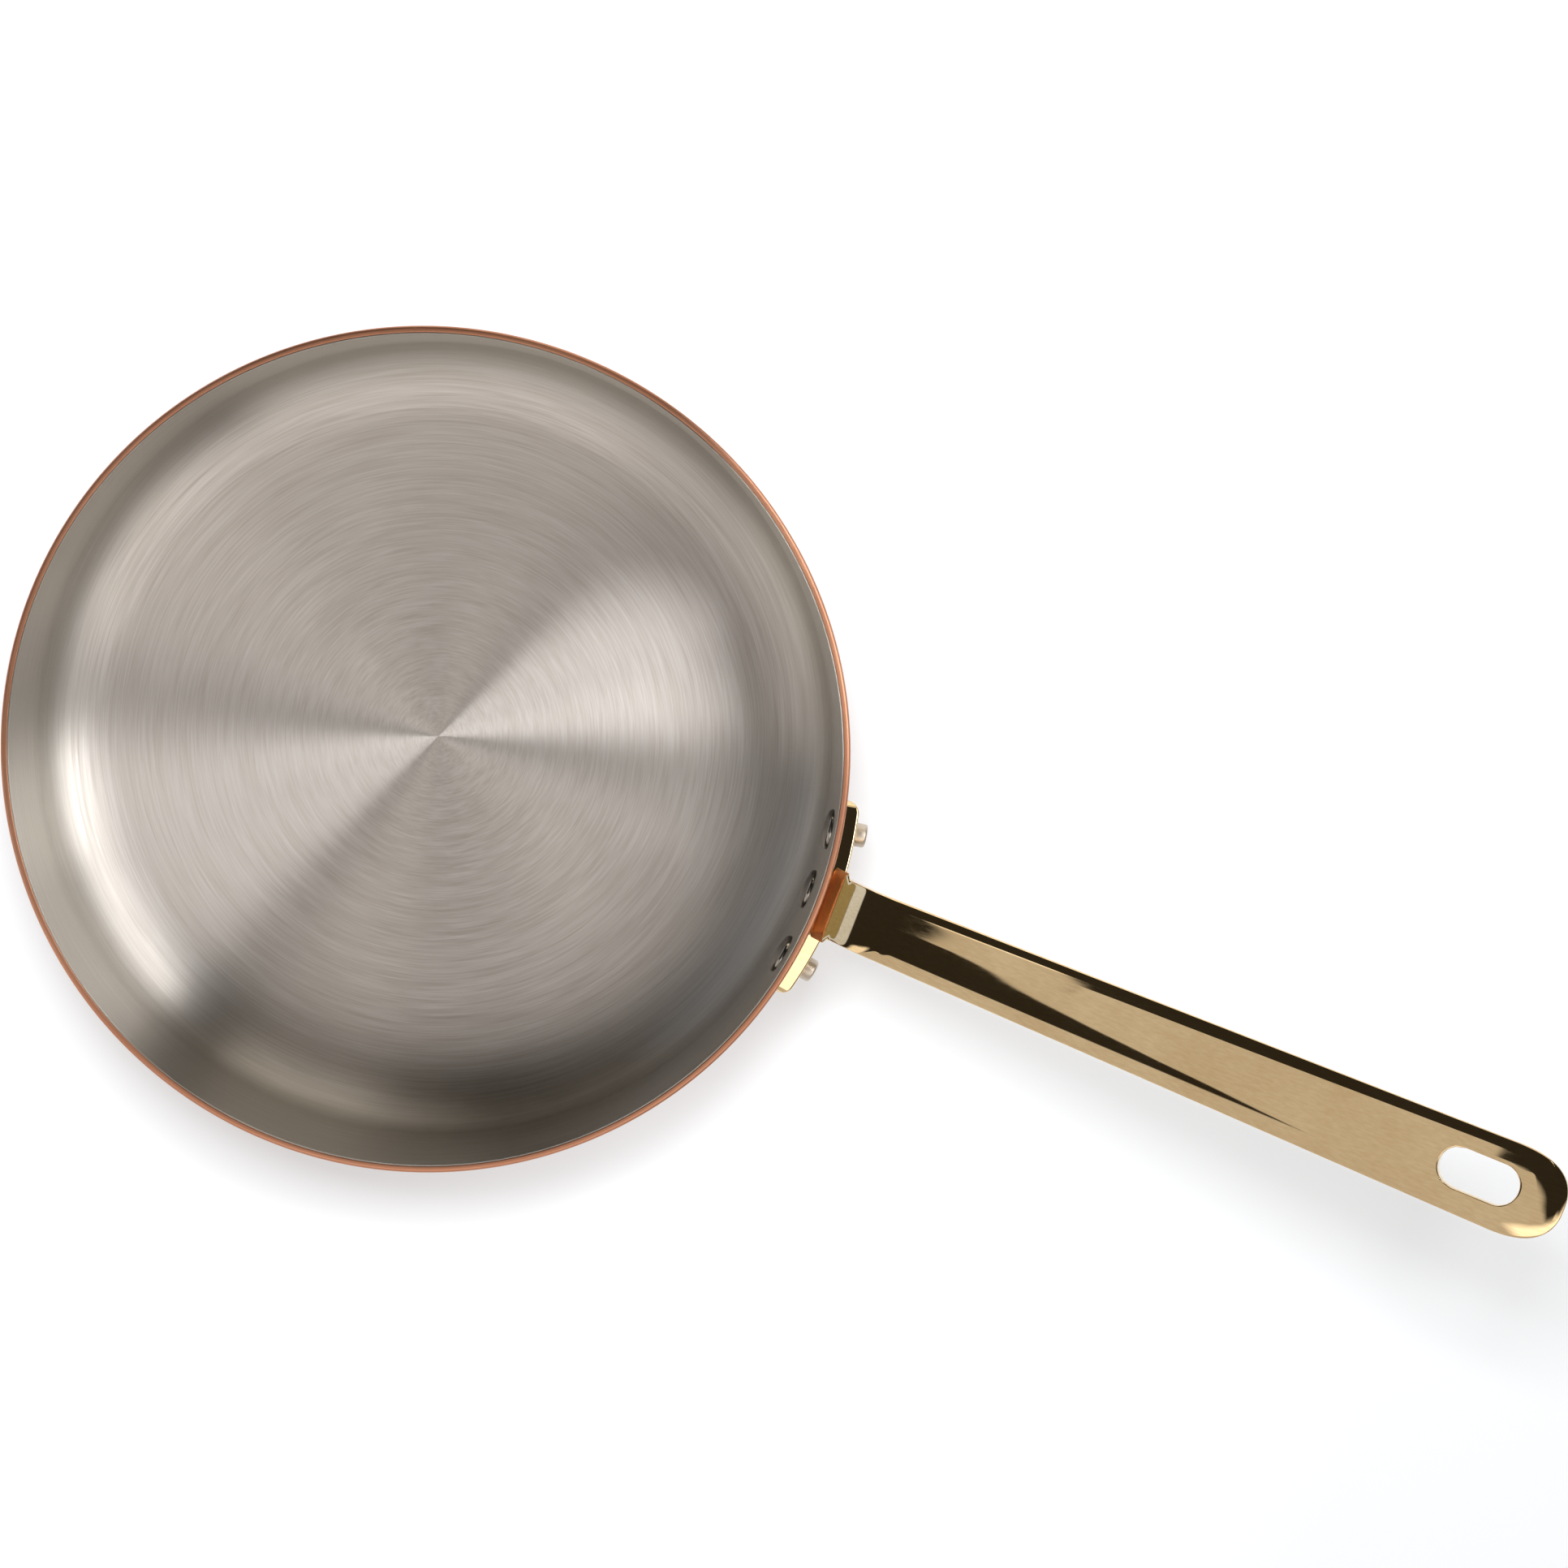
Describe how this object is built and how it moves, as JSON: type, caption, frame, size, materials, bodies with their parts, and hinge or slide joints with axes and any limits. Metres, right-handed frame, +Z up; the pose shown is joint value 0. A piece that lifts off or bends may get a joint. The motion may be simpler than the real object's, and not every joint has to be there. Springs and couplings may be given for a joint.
{
  "type": "deep frying pan",
  "caption": "Round deep frying pan with a flared copper body, a brushed steel lining and a long cast brass handle riveted to the wall, slotted at its tip for hanging.",
  "frame": {"origin": "centre of the base's underside", "axes": "+Z up out of the pan, +X from the pan's axis along the handle"},
  "size_m": [0.4567, 0.24, 0.119],
  "materials": {
    "copper": "satin polished copper",
    "lining_steel": "steel brushed in circles",
    "handle_brass": "mirror polished brass",
    "rivet_steel": "satin steel"
  },
  "bodies": {
    "root": {"copper_body": "copper", "steel_lining": "lining_steel", "handle": "handle_brass", "rivet_left": "rivet_steel", "rivet_right": "rivet_steel", "rivet_lower": "rivet_steel"}
  },
  "joints": []
}
